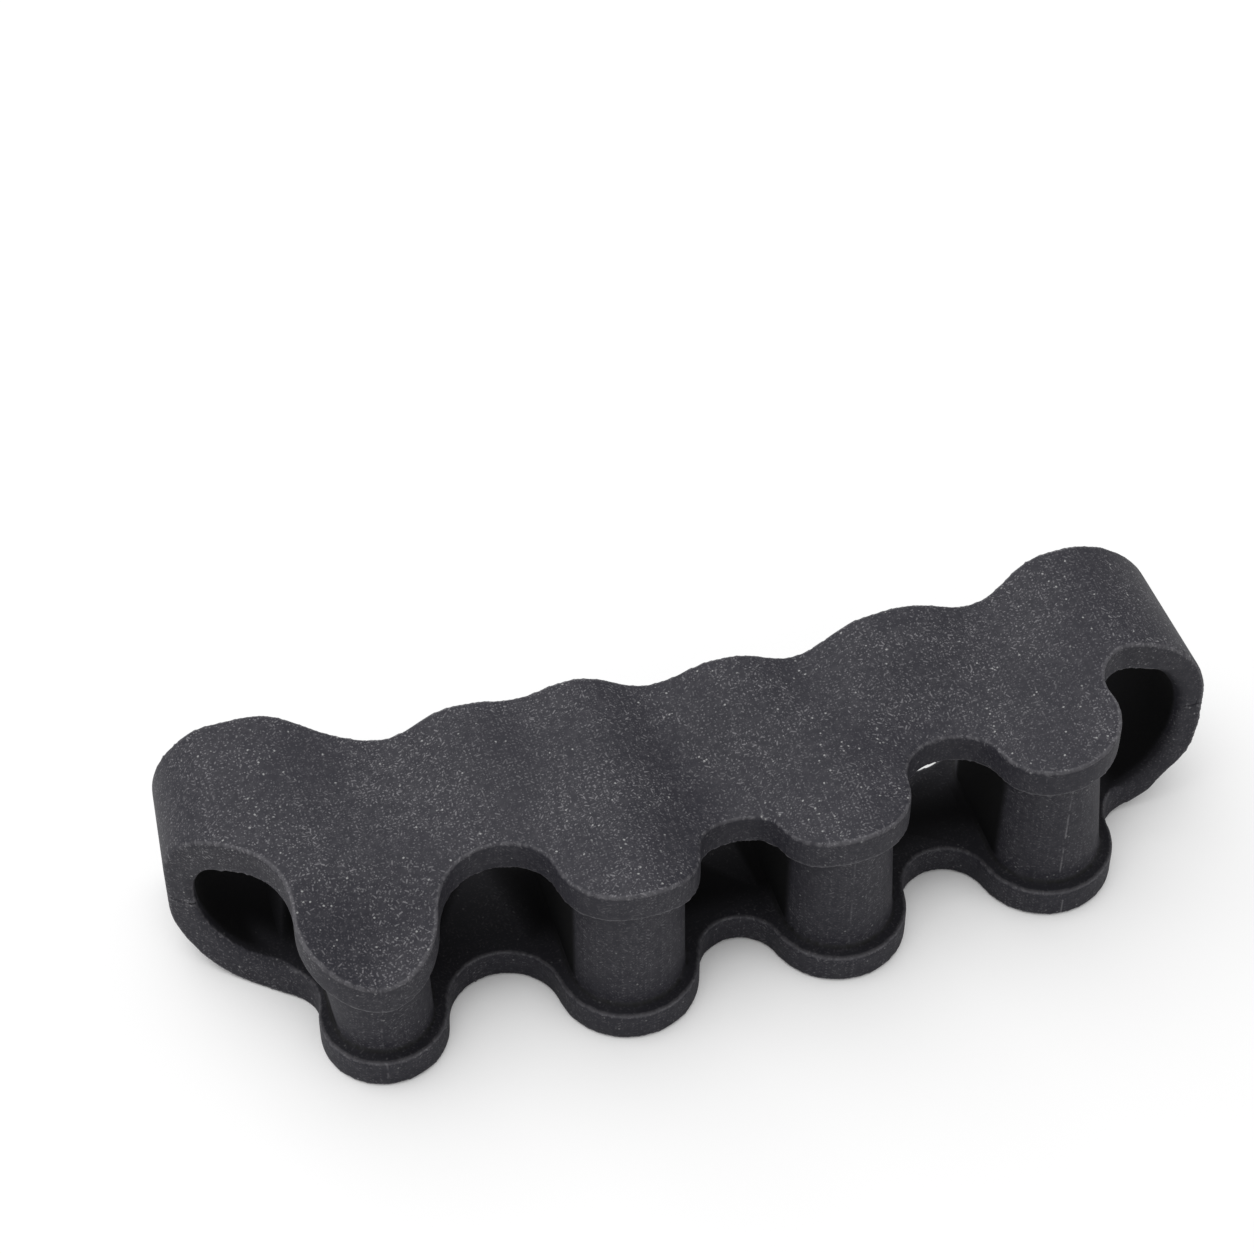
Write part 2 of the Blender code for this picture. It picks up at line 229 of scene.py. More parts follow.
# %% Sizes of the moulding
LEFT_END = low_corner[0] / MM
RIGHT_END = high_corner[0] / MM
FRONT = low_corner[1] / MM
BACK = high_corner[1] / MM
RIGHT_LOOP_HEIGHT = high_corner[2] / MM
LEFT_LOOP_HEIGHT = 21.0
SHEET = 3.8
END_WALL = 2.9
LEFT_OUTER_RADII = (7.4, 8.2)
LEFT_INNER_RADII = (6.8, 5.7)
RIGHT_OUTER_RADII = (11.8, 11.3)
RIGHT_INNER_RADII = (9.0, 8.4)
DEPTH_MARGIN = 2.0

FIRST_PILLAR = 18.1
PILLAR_PITCHES = (25.1, 22.5, 23.4)
ROW = [LEFT_END, LEFT_END + FIRST_PILLAR]
for pitch in PILLAR_PITCHES:
    ROW.append(ROW[-1] + pitch)
ROW.append(RIGHT_END)
print("left end, pillars and right end at", [round(x, 1) for x in ROW])

# %% [markdown]
# Every modelling step below needs the same few actions: start with nothing selected, go into edit
# mode, and select points by their place. They are small helpers, so that each step reads as it would
# be done by hand.

# %% Helpers for modelling by hand
def start_editing(obj):
    """Edit mode on one object, with nothing selected in it."""
    bpy.ops.object.select_all(action="DESELECT")
    obj.select_set(True)
    bpy.context.view_layer.objects.active = obj
    bpy.ops.object.mode_set(mode="EDIT")
    bpy.ops.mesh.select_mode(type="VERT")
    bpy.ops.mesh.select_all(action="DESELECT")


def pick(obj, wanted, kind="VERT"):
    """Selects the points or edges whose middle is at a wanted place."""
    bpy.ops.mesh.select_mode(type=kind)
    bpy.ops.mesh.select_all(action="DESELECT")
    mesh = bmesh.from_edit_mesh(obj.data)
    if kind == "VERT":
        places = [(vertex, vertex.co) for vertex in mesh.verts]
    else:
        places = [(edge, (edge.verts[0].co + edge.verts[1].co) / 2.0) for edge in mesh.edges]
    for part, place in places:
        if wanted(place):
            part.select_set(True)
    mesh.select_flush_mode()
    bmesh.update_edit_mesh(obj.data)


def stop_editing():
    bpy.ops.object.mode_set(mode="OBJECT")


def apply_modifier(obj, kind, **settings):
    """Adds one modifier, sets it and applies it."""
    bpy.ops.object.select_all(action="DESELECT")
    obj.select_set(True)
    bpy.context.view_layer.objects.active = obj
    modifier = obj.modifiers.new(kind.lower(), kind)
    for name, setting in settings.items():
        setattr(modifier, name, setting)
    bpy.ops.object.modifier_apply(modifier=modifier.name)

# %% [markdown]
# Seen from the front, the body is a long flat loop, taller at the big toe. A block is added at its
# size, its top edge is raised at the right end, and its four long edges are bevelled to the corner
# radii. The same steps on a smaller block give the space inside, which is cut out.

# %% The long flat loop
CORNER_SEGMENTS = 28
CORNER_SHARE = 0.4
TINY = 0.001


def rounded_block(name, wall, sheet, left_radii, right_radii, reach):
    """Block with four rounded long edges, set in by a wall and a sheet thickness."""
    left = LEFT_END + wall
    right = RIGHT_END - wall
    height = LEFT_LOOP_HEIGHT - 2.0 * sheet
    front = FRONT - DEPTH_MARGIN - reach
    back = BACK + DEPTH_MARGIN + reach
    level = sheet + height / 2.0
    bpy.ops.object.select_all(action="DESELECT")
    middle = ((left + right) / 2.0, (front + back) / 2.0, level)
    bpy.ops.mesh.primitive_cube_add(size=1.0, location=middle)
    block = bpy.context.object
    block.name = name
    block.scale = (right - left, back - front, height)
    bpy.ops.object.transform_apply(location=True, scale=True)
    start_editing(block)
    pick(block, lambda place: place.x > 0.0 and place.z > level)
    bpy.ops.transform.translate(value=(0.0, 0.0, RIGHT_LOOP_HEIGHT - LEFT_LOOP_HEIGHT))
    corners = (
        (left, -1, left_radii[0]), (left, 1, left_radii[1]),
        (right, -1, right_radii[0]), (right, 1, right_radii[1]),
    )
    for end, up, radius in corners:
        def on_corner(place):
            return abs(place.x - end) < TINY and (place.z - level) * up > height * CORNER_SHARE

        pick(block, on_corner, "EDGE")
        bpy.ops.mesh.bevel(offset=radius, segments=CORNER_SEGMENTS, profile=0.5, affect="EDGES")
    stop_editing()
    return block


body = rounded_block("loop", 0.0, 0.0, LEFT_OUTER_RADII, RIGHT_OUTER_RADII, 0.0)
space = rounded_block("space_inside", END_WALL, SHEET, LEFT_INNER_RADII, RIGHT_INNER_RADII, 1.0)
apply_modifier(body, "BOOLEAN", operation="DIFFERENCE", object=space)
bpy.data.objects.remove(space)
print("loop:", len(body.data.vertices), "points")

# %% [markdown]
# The block's faces are long and plain, so the top can't take a curve yet. Straight cuts across the
# length and the depth give it a fine even grid, the way a loaf is sliced.

# %% Slices across the loop
SLICE = 1.2


def slice_through(obj, start, stop, normal):
    """Cuts at even steps from start to stop, square to a normal."""
    steps = int((stop - start) / SLICE)
    for step in range(1, steps):
        place = start + (stop - start) * step / steps
        bpy.ops.mesh.select_all(action="SELECT")
        bpy.ops.mesh.bisect(plane_co=[place * part for part in normal], plane_no=normal)


start_editing(body)
slice_through(body, LEFT_END + LEFT_OUTER_RADII[1], RIGHT_END - RIGHT_OUTER_RADII[1], (1.0, 0.0, 0.0))
slice_through(body, FRONT - DEPTH_MARGIN, BACK + DEPTH_MARGIN, (0.0, 1.0, 0.0))
stop_editing()
print("sliced loop:", len(body.data.polygons), "faces")

# %% [markdown]
# The top sheet isn't flat: it rises over the toes and dips between them, and the back edge swings in
# and out. Each line is a list of turning points, with its places counted along the row: 0 is the left
# end, 1 to 4 are the pillars and 5 is the right end. One smooth curve joins them without swinging past
# them, so no dent or kink shows in the light. The first lobe's top hangs down towards its tip.

# %% Waves of the top sheet
TOP_BACK_EDGE = (
    (0.0, BACK), (0.68, BACK), (1.28, 11.7), (1.47, 12.0), (1.64, 11.7), (1.79, 11.2),
    (1.96, 11.4), (2.07, 11.2), (2.36, 9.7), (2.68, 9.5), (2.79, 9.2), (3.03, 8.5),
    (3.37, 9.9), (3.57, 10.0), (3.86, 9.1), (4.26, 12.0), (5.0, 12.0),
)
BOTTOM_BACK_EDGE = (
    (0.0, BACK), (0.44, 17.0), (1.0, 11.3), (1.5, 7.2), (2.0, 10.2), (2.5, 5.6),
    (3.0, 8.8), (3.61, 4.5), (4.0, 8.7), (4.54, 12.0), (5.0, 12.0),
)
FRONT_CREST = (
    (0.0, 0.0), (0.44, 0.0), (1.0, -0.85), (1.47, -0.95), (2.0, 0.55), (2.5, -3.8),
    (3.0, -0.75), (3.5, -2.95), (4.0, -1.2), (4.6, 0.0), (5.0, 0.0),
)
BACK_CREST = (
    (0.0, 0.0), (0.6, -0.15), (1.28, -2.3), (1.47, 0.0), (1.64, 0.05), (1.79, -0.7),
    (1.96, 0.1), (2.07, 0.25), (2.36, -2.05), (2.68, -0.2), (2.79, -0.15), (3.03, -2.1),
    (3.37, -0.1), (3.57, -0.15), (3.86, -1.85), (4.26, 0.0), (5.0, 0.0),
)
CREST_FRONT_Y = -8.0
CREST_BACK_Y = 9.0
DROOP = 4.8
DROOP_START_Y = -2.0
DROOP_LENGTH = 14.0
DROOP_WIDTH = 8.5
SOFTENING = (-1.8, -0.9, 0.0, 0.9, 1.8)


def ease(amount):
    """Smooth step from 0 to 1 with level ends."""
    amount = min(max(amount, 0.0), 1.0)
    return amount * amount * (3.0 - 2.0 * amount)


@functools.lru_cache
def wave_slopes(turning_points):
    """Slope of a wave at each turning point: level at its crests, dips and ends."""
    slopes = [0.0]
    for before, here, after in zip(turning_points, turning_points[1:], turning_points[2:]):
        rise = (here[1] - before[1]) / (here[0] - before[0])
        next_rise = (after[1] - here[1]) / (after[0] - here[0])
        turns = rise * next_rise <= 0.0
        slopes.append(0.0 if turns else 2.0 * rise * next_rise / (rise + next_rise))
    return slopes + [0.0]


def plain_wave(x, turning_points):
    """Value of a wave at an X, on the smooth curve through its turning points."""
    step = min(max(bisect.bisect_left(ROW, x) - 1, 0), len(ROW) - 2)
    place = step + (x - ROW[step]) / (ROW[step + 1] - ROW[step])
    place = min(max(place, turning_points[0][0]), turning_points[-1][0])
    index = 0
    while index < len(turning_points) - 2 and place > turning_points[index + 1][0]:
        index += 1
    (start, low), (stop, high) = turning_points[index:index + 2]
    leave, arrive = wave_slopes(turning_points)[index:index + 2]
    share = (place - start) / (stop - start)
    bend = leave * (1.0 - share) - arrive * share
    return low + (high - low) * ease(share) + (stop - start) * bend * share * (1.0 - share)


def wave(x, turning_points):
    """Value of a wave at an X, softened by the mean over a short run of it."""
    return sum(plain_wave(x + shift, turning_points) for shift in SOFTENING) / len(SOFTENING)


def straight_top(x):
    """Height of a plain straight top between the upper corners of the two loops."""
    left_x = LEFT_END + LEFT_OUTER_RADII[1]
    right_x = RIGHT_END - RIGHT_OUTER_RADII[1]
    share = min(max((x - left_x) / (right_x - left_x), 0.0), 1.0)
    return LEFT_LOOP_HEIGHT + (RIGHT_LOOP_HEIGHT - LEFT_LOOP_HEIGHT) * share


def top_height(x, y):
    """Height of the waved top face over a point of the plan."""
    front = wave(x, FRONT_CREST)
    back = wave(x, BACK_CREST)
    rise = front + (back - front) * ease((y - CREST_FRONT_Y) / (CREST_BACK_Y - CREST_FRONT_Y))
    across = (x - ROW[1]) / DROOP_WIDTH
    along = ease((DROOP_START_Y - y) / DROOP_LENGTH)
    return straight_top(x) + rise - DROOP * along * math.exp(-across * across)


def block_top(x):
    """Height of the straight top that the block was given."""
    share = (x - LEFT_END) / (RIGHT_END - LEFT_END)
    return LEFT_LOOP_HEIGHT + (RIGHT_LOOP_HEIGHT - LEFT_LOOP_HEIGHT) * share


def on_run(x):
    """1 on the top's run between the upper corners, falling to 0 at the end walls."""
    left = (x - LEFT_END) / LEFT_OUTER_RADII[1]
    right = (RIGHT_END - x) / RIGHT_OUTER_RADII[1]
    return ease(min(left, right, 1.0))


for vertex in body.data.vertices:
    place = vertex.co
    share = ease((place.z - SHEET) / (block_top(place.x) - 3.0 * SHEET))
    place.z += share * on_run(place.x) * (top_height(place.x, place.y) - block_top(place.x))
heights = [vertex.co.z for vertex in body.data.vertices]
print("waved loop: %.1f to %.1f mm high" % (min(heights), max(heights)))

# %% [markdown]
# The end walls lean a little: the back of each stands further in than its front. The points of each
# wall slide inwards by an amount that grows towards the back.

# %% Lean of the end walls
LEFT_SKEW = 1.0
RIGHT_SKEW = 0.8
LEFT_EDGE_ENDS = {"floor": 5.3, "sheet": 6.1, "top": 6.4}
RIGHT_EDGE_ENDS = {"floor": -4.0, "sheet": -3.8, "top": -2.7}

for vertex in body.data.vertices:
    place = vertex.co
    left = (LEFT_END + LEFT_OUTER_RADII[1] - place.x) / (LEFT_OUTER_RADII[1] - END_WALL)
    right = (place.x - RIGHT_END + RIGHT_OUTER_RADII[1]) / (RIGHT_OUTER_RADII[1] - END_WALL)
    left_depth = (place.y - LEFT_EDGE_ENDS["top"]) / (BACK - LEFT_EDGE_ENDS["top"])
    right_depth = (place.y - RIGHT_EDGE_ENDS["top"]) / (BACK - RIGHT_EDGE_ENDS["top"])
    place.x += LEFT_SKEW * left_depth * ease(left) - RIGHT_SKEW * right_depth * ease(right)
print("end walls lean by", LEFT_SKEW, "and", RIGHT_SKEW, "mm")

# %% [markdown]
# In plan the front edge is a row of round lobes, one at each pillar, with hollows between them. It is
# drawn as tangent arcs: a lobe, a hollow that touches it, the next lobe, and a small neck arc into
# the straight edge of each end loop. The bottom sheet and the top sheet have slightly different arcs.

# %% Arcs of the front edge
LOBE_FRONTS = (-16.0, -17.6, -16.9, -15.2)
BOTTOM_LOBE_RADII = (6.5, 7.4, 7.3, 7.3)
TOP_LOBE_RADII = (7.0, 7.3, 6.9, 6.4)
TOP_LOBE_SHIFTS = (-0.8, -0.1, -0.4, -0.75)
RECESS_TOPS = (-5.9, -8.5, -6.1)
LEFT_EDGE_ANGLE = math.radians(-38.0)
LEFT_NECK_RADII = {"floor": 4.0, "sheet": 4.0, "top": 8.5}
RIGHT_NECK_RADIUS = 4.0
ARC_STEPS = 26
HALVINGS = 40
OUTSIDE = 2.5


def lobe_circles(level):
    """Centre and radius of each lobe's round front."""
    on_top = level == "top"
    circles = []
    for index, radius in enumerate(TOP_LOBE_RADII if on_top else BOTTOM_LOBE_RADII):
        shift = TOP_LOBE_SHIFTS[index] if on_top else 0.0
        circles.append((ROW[index + 1] + shift, LOBE_FRONTS[index] + radius, radius))
    return circles


def recess_arc(left, right, top):
    """Centre and radius of the hollow between two lobes that touches both and reaches back to top."""
    def radius_to(lobe, x):
        depth = top - (lobe[1] - lobe[2])
        return ((x - lobe[0]) ** 2 / depth + depth) / 2.0 - lobe[2]

    near, far = left[0], right[0]
    for _ in range(HALVINGS):
        x = (near + far) / 2.0
        if radius_to(left, x) > radius_to(right, x):
            far = x
        else:
            near = x
    return x, top - radius_to(left, x), radius_to(left, x)


def neck_arc(lobe, anchor, angle, radius, side):
    """Centre of the arc that touches a lobe and a loop's straight front edge."""
    direction = (math.cos(angle), math.sin(angle))
    start = (anchor[0] + direction[1] * radius, anchor[1] - direction[0] * radius)
    to_start = (start[0] - lobe[0], start[1] - lobe[1])
    half = to_start[0] * direction[0] + to_start[1] * direction[1]
    rest = to_start[0] ** 2 + to_start[1] ** 2 - (lobe[2] + radius) ** 2
    step = side * math.sqrt(max(half * half - rest, 0.0)) - half
    return start[0] + direction[0] * step, start[1] + direction[1] * step, radius


def arc_points(arc, start, stop, turn):
    """Points of an arc from the direction of one point to that of another."""
    first = math.atan2(start[1] - arc[1], start[0] - arc[0])
    last = math.atan2(stop[1] - arc[1], stop[0] - arc[0])
    sweep = turn * ((last - first) * turn % (2.0 * math.pi))
    angles = [first + sweep * step / ARC_STEPS for step in range(ARC_STEPS + 1)]
    return [(arc[0] + arc[2] * math.cos(a), arc[1] + arc[2] * math.sin(a)) for a in angles]


def front_edge(level):
    """Front edge of one level from the left end to the right end."""
    lobes = lobe_circles(level)
    left_end = (LEFT_END, LEFT_EDGE_ENDS[level])
    right_end = (RIGHT_END + OUTSIDE, RIGHT_EDGE_ENDS[level])
    left_neck = neck_arc(lobes[0], left_end, LEFT_EDGE_ANGLE, LEFT_NECK_RADII[level], -1)
    right_neck = neck_arc(lobes[-1], right_end, 0.0, RIGHT_NECK_RADIUS, 1)
    left_foot = (left_neck[0] - math.sin(LEFT_EDGE_ANGLE), left_neck[1] + math.cos(LEFT_EDGE_ANGLE))
    right_foot = (right_neck[0], right_neck[1] + 1.0)
    hollows = [recess_arc(lobes[i], lobes[i + 1], top) for i, top in enumerate(RECESS_TOPS)]
    beside = [left_neck] + hollows + [right_neck]
    points = [(LEFT_END - OUTSIDE, LEFT_EDGE_ENDS[level]), left_end]
    points += arc_points(left_neck, left_foot, lobes[0], -1)
    for index, lobe in enumerate(lobes):
        points += arc_points(lobe, beside[index], beside[index + 1], 1)[1:-1]
        if index < len(hollows):
            points += arc_points(hollows[index], lobe, lobes[index + 1], -1)
    return points + arc_points(right_neck, lobes[-1], right_foot, -1) + [right_end]


BACK_STATIONS = 150


def back_edge(turning_points):
    """Back edge from the right end to the left end."""
    points = []
    for station in range(BACK_STATIONS + 1):
        x = RIGHT_END + (LEFT_END - RIGHT_END) * station / BACK_STATIONS
        beyond = OUTSIDE * ((station == 0) - (station == BACK_STATIONS))
        points.append((x + beyond, wave(x, turning_points)))
    return points


print("front edge drawn with", len(front_edge("top")), "points")

# %% [markdown]
# The outline is drawn the way one traces a drawing: one point is put down and extruded from place to
# place. The closed line is filled and pulled up through the levels, and the points of each new level
# are moved onto that level's own outline. What lies outside this block is then cut off the loop.

# %% Outline block, and the cut
CUT_BELOW = 3.0
CUT_ABOVE = 3.0
MEET_MARGIN = 0.4

floor_outline = front_edge("floor") + back_edge(BOTTOM_BACK_EDGE)
sheet_outline = front_edge("sheet") + back_edge(BOTTOM_BACK_EDGE)
top_outline = front_edge("top") + back_edge(TOP_BACK_EDGE)
upper_start = min(top_height(x, y) for x, y in top_outline) - SHEET - MEET_MARGIN


def trace(name, outline, height):
    """Flat filled shape, traced point by point."""
    bpy.ops.object.select_all(action="DESELECT")
    bpy.ops.mesh.primitive_plane_add(size=1.0, location=(*outline[0], height))
    shape = bpy.context.object
    shape.name = name
    bpy.ops.object.transform_apply(location=True)
    start_editing(shape)
    bpy.ops.mesh.select_all(action="SELECT")
    bpy.ops.mesh.merge(type="CENTER")
    for start, stop in zip(outline, outline[1:]):
        step = (stop[0] - start[0], stop[1] - start[1], 0.0)
        bpy.ops.mesh.extrude_vertices_move(TRANSFORM_OT_translate={"value": step})
    bpy.ops.mesh.select_all(action="SELECT")
    bpy.ops.mesh.edge_face_add()
    return shape


def pull_up(shape, old_outline, new_outline, rise):
    """Extrudes the selected face upwards and moves its points onto a new outline."""
    bpy.ops.mesh.extrude_region_move(TRANSFORM_OT_translate={"value": (0.0, 0.0, rise)})
    old = np.array(old_outline)
    mesh = bmesh.from_edit_mesh(shape.data)
    for vertex in mesh.verts:
        if vertex.select:
            index = int(np.argmin(np.hypot(*(old - vertex.co[:2]).T)))
            vertex.co.x, vertex.co.y = new_outline[index]
    bmesh.update_edit_mesh(shape.data)


outline_block = trace("outline_block", floor_outline, -CUT_BELOW)
pull_up(outline_block, floor_outline, floor_outline, CUT_BELOW)
pull_up(outline_block, floor_outline, sheet_outline, SHEET + MEET_MARGIN)
pull_up(outline_block, sheet_outline, top_outline, upper_start - SHEET - MEET_MARGIN)
pull_up(outline_block, top_outline, top_outline, RIGHT_LOOP_HEIGHT + CUT_ABOVE - upper_start)
bpy.ops.mesh.select_all(action="SELECT")
bpy.ops.mesh.normals_make_consistent(inside=False)
stop_editing()
apply_modifier(body, "BOOLEAN", operation="INTERSECT", object=outline_block)
bpy.data.objects.remove(outline_block)
print("cut body:", len(body.data.vertices), "points")

# %% [markdown]
# A pillar is an oval post: a round front, straight sides and a round back. A disc is added, its back
# half is pulled backwards, and the shape is extruded up in steps that flare at both roots. Both ends
# are sunk into the sheets, and the head follows the slope of the sheet above it.

# %% Pillars
LIP = 1.5
PILLAR_FILLET = 0.3
PILLAR_SIDES = 96
FLARE_STEPS = 5
ROOT = SHEET / 2.0


def pillar(index, foot, head):
    """One flared oval post between the sheets."""
    radius = foot[2] - LIP
    back = wave(foot[0], BOTTOM_BACK_EDGE) - LIP
    stretch = back - radius - foot[1]
    bpy.ops.object.select_all(action="DESELECT")
    bpy.ops.mesh.primitive_circle_add(
        vertices=PILLAR_SIDES, radius=radius, fill_type="NGON", location=(foot[0], foot[1], ROOT))
    post = bpy.context.object
    post.name = "pillar_%d" % (index + 1)
    bpy.ops.object.transform_apply(location=True)
    start_editing(post)
    pick(post, lambda place: place.y > foot[1] + TINY)
    bpy.ops.transform.translate(value=(0.0, stretch, 0.0))
    bpy.ops.mesh.select_all(action="SELECT")

    top = top_height(head[0], head[1]) - ROOT
    middle = (foot[0], foot[1] + stretch / 2.0, 0.0)
    half_width = radius
    half_depth = radius + stretch / 2.0
    angles = [math.radians(90.0 * step / FLARE_STEPS) for step in range(FLARE_STEPS + 1)]
    rings = [(PILLAR_FILLET * (1.0 - math.sin(a)), PILLAR_FILLET * (1.0 - math.cos(a))) for a in angles]
    lower = [(grow, SHEET + rise) for grow, rise in rings]
    upper = [(grow, top + ROOT - SHEET - rise) for grow, rise in reversed(rings)]
    grown, level = 0.0, ROOT
    steps = [(PILLAR_FILLET, ROOT)] + lower + upper + [(PILLAR_FILLET, top)]
    for grow, height in steps:
        if height > level:
            bpy.ops.mesh.extrude_region_move(
                TRANSFORM_OT_translate={"value": (0.0, 0.0, height - level)})
        size = ((half_width + grow) / (half_width + grown), (half_depth + grow) / (half_depth + grown), 1.0)
        bpy.ops.transform.resize(value=size, center_override=middle)
        grown, level = grow, height
    bpy.ops.mesh.select_all(action="SELECT")
    bpy.ops.mesh.normals_make_consistent(inside=False)
    stop_editing()

    half_height = (ROOT + top) / 2.0
    spread = (head[2] - LIP) / radius
    for vertex in post.data.vertices:
        place = vertex.co
        if place.z > half_height:
            place.x = head[0] + (place.x - foot[0]) * spread
            place.z += top_height(place.x, place.y) - ROOT - top
    return post


pillars = [
    pillar(index, foot, head)
    for index, (foot, head) in enumerate(zip(lobe_circles("sheet"), lobe_circles("top")))
]
print("pillars:", [post.name for post in pillars])

# %% [markdown]
# The moulding has no hard joints: sheets, walls and pillars are one body, and every rim is softly
# rounded. The shapes are joined and wrapped in a new even skin, and smoothing that skin rounds the
# rims by about half a millimetre. The body lies at odd angles while it is wrapped, because a skin laid
# parallel to long flat faces would leave steps on them.

# %% One soft skin
SKIN = 0.25
WRAP_TURNS = (("Z", math.radians(23.0)), ("X", math.radians(31.0)), ("Y", math.radians(17.0)))
SMOOTHING_STEPS = 13


def turn_body(obj, axis, angle):
    """Turns a body about one axis through the origin, in its mesh."""
    bpy.ops.object.select_all(action="DESELECT")
    obj.select_set(True)
    bpy.context.view_layer.objects.active = obj
    bpy.ops.transform.rotate(value=angle, orient_axis=axis, center_override=(0.0, 0.0, 0.0))
    bpy.ops.object.transform_apply(location=True, rotation=True, scale=True)


bpy.ops.object.select_all(action="DESELECT")
for post in pillars:
    post.select_set(True)
body.select_set(True)
bpy.context.view_layer.objects.active = body
bpy.ops.object.join()
for axis, angle in WRAP_TURNS:
    turn_body(body, axis, angle)
apply_modifier(body, "REMESH", mode="VOXEL", voxel_size=SKIN, adaptivity=0.0)
for axis, angle in reversed(WRAP_TURNS):
    turn_body(body, axis, -angle)
apply_modifier(body, "SMOOTH", factor=0.5, iterations=SMOOTHING_STEPS)
print("skin:", len(body.data.polygons), "faces, box in mm", [round(side, 2) for side in body.dimensions])

# %% [markdown]
# Where a toe goes in, the front edges of the two end loops are rounder than the other rims, by about a
# millimetre. The points of those edges, between the sheets and near the front outline, are gathered in
# a vertex group, and only they are smoothed further. The group fades out towards the end walls, the
# pillars and both sheets. The skin is then thinned to keep the file light.

# %% Rounder mouths of the end loops
OUTLINE_STEP = 0.2
MOUTH_START = 1.2
MOUTH_START_FADE = 1.8
MOUTH_STOP = 11.0
MOUTH_STOP_FADE = 3.0
MOUTH_FLOOR = 2.0
MOUTH_ROOF_GAP = 0.8
MOUTH_LEVEL_FADE = 1.4
MOUTH_DEPTH = 3.0
MOUTH_SMOOTHING = 150
SKIN_TRIANGLES = 180000


def outline_tree(*outlines):
    """Search tree over close points along some outlines, flat in plan."""
    points = []
    for outline in outlines:
        for start, stop in zip(outline, outline[1:]):
            steps = math.ceil(math.dist(start, stop) / OUTLINE_STEP)
            for step in range(steps):
                share = step / steps
                points.append([near + (far - near) * share for near, far in zip(start, stop)])
    tree = mathutils.kdtree.KDTree(len(points))
    for index, (x, y) in enumerate(points):
        tree.insert((x, y, 0.0), index)
    tree.balance()
    return tree


def plan_distance(tree, place):
    return tree.find((place.x, place.y, 0.0))[2]


front_tree = outline_tree(front_edge("sheet"), front_edge("top"))


def mouth_share(place):
    """1 on the inner front edges of the two end loops, falling to 0 around them."""
    from_end = min(place.x - LEFT_END, RIGHT_END - place.x)
    loop = ease((from_end - MOUTH_START) / MOUTH_START_FADE)
    loop *= ease((MOUTH_STOP - from_end) / MOUTH_STOP_FADE)
    level = ease((place.z - MOUTH_FLOOR) / MOUTH_LEVEL_FADE)
    level *= ease((straight_top(place.x) - SHEET - MOUTH_ROOF_GAP - place.z) / MOUTH_LEVEL_FADE)
    if loop * level == 0.0:
        return 0.0
    return loop * level * ease((MOUTH_DEPTH - plan_distance(front_tree, place)) / MOUTH_DEPTH)


mouths = body.vertex_groups.new(name="mouths")
mouth_points = 0
for vertex in body.data.vertices:
    share = mouth_share(vertex.co)
    if share > 0.0:
        mouths.add([vertex.index], share, "REPLACE")
        mouth_points += 1
apply_modifier(body, "SMOOTH", factor=0.5, iterations=MOUTH_SMOOTHING, vertex_group="mouths")
body.vertex_groups.clear()
skin_triangles = 2 * len(body.data.polygons)
apply_modifier(body, "DECIMATE", ratio=SKIN_TRIANGLES / skin_triangles)
print(mouth_points, "points rounded,", skin_triangles, "triangles thinned to about", SKIN_TRIANGLES)

# %% [markdown]
# The two halves of the mould met at half the height of the end walls, and left a fine line round each.
# The skin there is cut along both sides and the middle of the line, and the middle is sunk by about a
# tenth of a millimetre.

# %% Parting line round the end walls
PARTING_LEVELS = ((-1, 9.3), (1, 13.2))
LINE_HALF_WIDTH = 0.16
LINE_DEPTH = 0.12
LINE_REACH = 3.4
LINE_FACING = -0.35


def sink_line(obj, side, level):
    """Sinks a fine line round the outside of one end wall."""
    end = LEFT_END if side < 0 else RIGHT_END
    start_editing(obj)
    mesh = bmesh.from_edit_mesh(obj.data)
    faces = []
    for face in mesh.faces:
        middle = face.calc_center_median()
        near_level = abs(middle.z - level) < 4.0 * LINE_HALF_WIDTH
        if near_level and abs(middle.x - end) < LINE_REACH and face.normal.x * side > LINE_FACING:
            faces.append(face)
    for offset in (-LINE_HALF_WIDTH, 0.0, LINE_HALF_WIDTH):
        touched = {item for face in faces for item in (face, *face.edges, *face.verts)}
        cut = bmesh.ops.bisect_plane(
            mesh, geom=list(touched), plane_co=(0.0, 0.0, level + offset), plane_no=(0.0, 0.0, 1.0))
        faces = [item for item in cut["geom"] if isinstance(item, bmesh.types.BMFace)]
    mesh.normal_update()
    middle_points = {vertex for face in faces for vertex in face.verts if abs(vertex.co.z - level) < TINY}
    for vertex in middle_points:
        vertex.co -= vertex.normal * LINE_DEPTH
    bmesh.update_edit_mesh(obj.data)
    stop_editing()
    return len(middle_points)


print("points on the parting lines:", [sink_line(body, side, level) for side, level in PARTING_LEVELS])

# %% [markdown]
# Rubber shows its form by its rims. How strongly the skin curves is measured along every edge and
# kept as an attribute, so that the finish can paint a highlight on the rims and paint shade in the
# creases. A second attribute says how open a point lies: 1 on top, less on the front edges and 0
# between the sheets. The finish paints shade by it, darkest where it is 0.

# %% Curvature and openness of the skin
FULL_CURVATURE = 2.0
EDGE_OPENNESS = 0.45
END_OPENNESS = 0.8
EDGE_REACH = (2.0, 6.0)
FACE_SHADE = 0.5
MOUTH_SHADE = 0.3
OUTER_PART = 0.7
INNER_PART = 0.3
TOP_FADE = 1.5
OFF_SHEET_FADE = 0.8
FRONT_FACING = 0.4
END_FACING = 0.3
UNDER_FACING = -0.5

